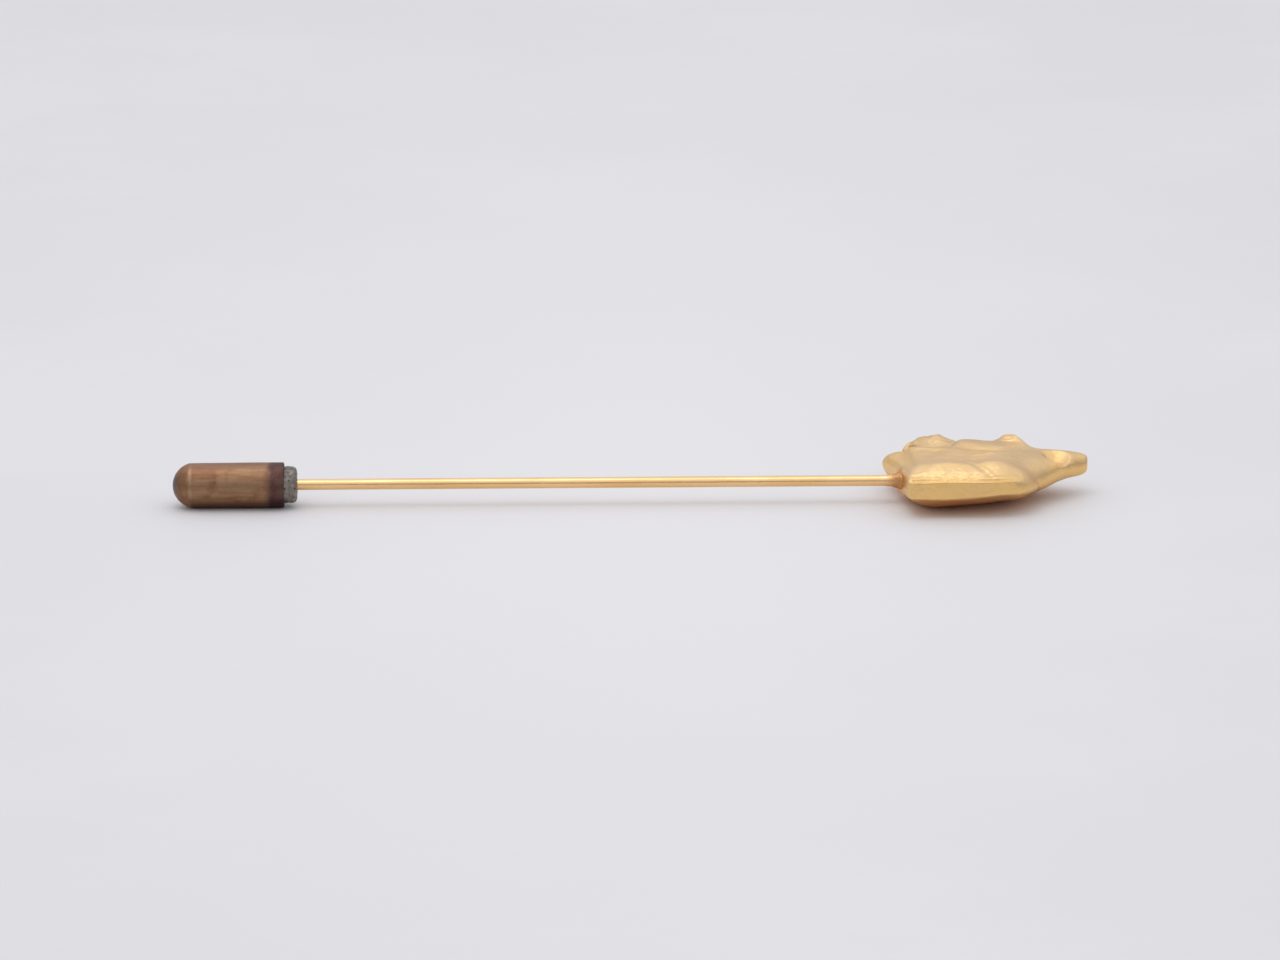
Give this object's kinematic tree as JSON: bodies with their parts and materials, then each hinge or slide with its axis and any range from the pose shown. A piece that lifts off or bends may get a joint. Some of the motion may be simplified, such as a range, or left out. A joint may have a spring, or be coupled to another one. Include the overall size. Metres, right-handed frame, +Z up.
{
  "type": "horse head stick pin",
  "caption": "Gold-plated stick pin with a cast horse head in profile relief and a bullet-shaped brass keeper that pulls off the point.",
  "frame": {"origin": "middle of the pin's footprint, on the surface it lies on", "axes": "+X along the stem from the keeper to the tip of the ear, +Y from the crest to the nose, +Z up out of the relief"},
  "size_m": [0.0758, 0.0154, 0.0045],
  "materials": {
    "gold_plate": "satin gold plate",
    "aged_brass": "tarnished brass",
    "grey_metal": "dull oxidised grey metal"
  },
  "bodies": {
    "pin": {"horse_pin": "gold_plate"},
    "keeper": {"keeper_shell": "aged_brass", "keeper_insert": "grey_metal"}
  },
  "joints": [
    {"name": "keeper_slide", "type": "slide", "parent": "pin", "child": "keeper", "axis": [-1, 0, 0], "range_m": [0, 0.02]}
  ]
}
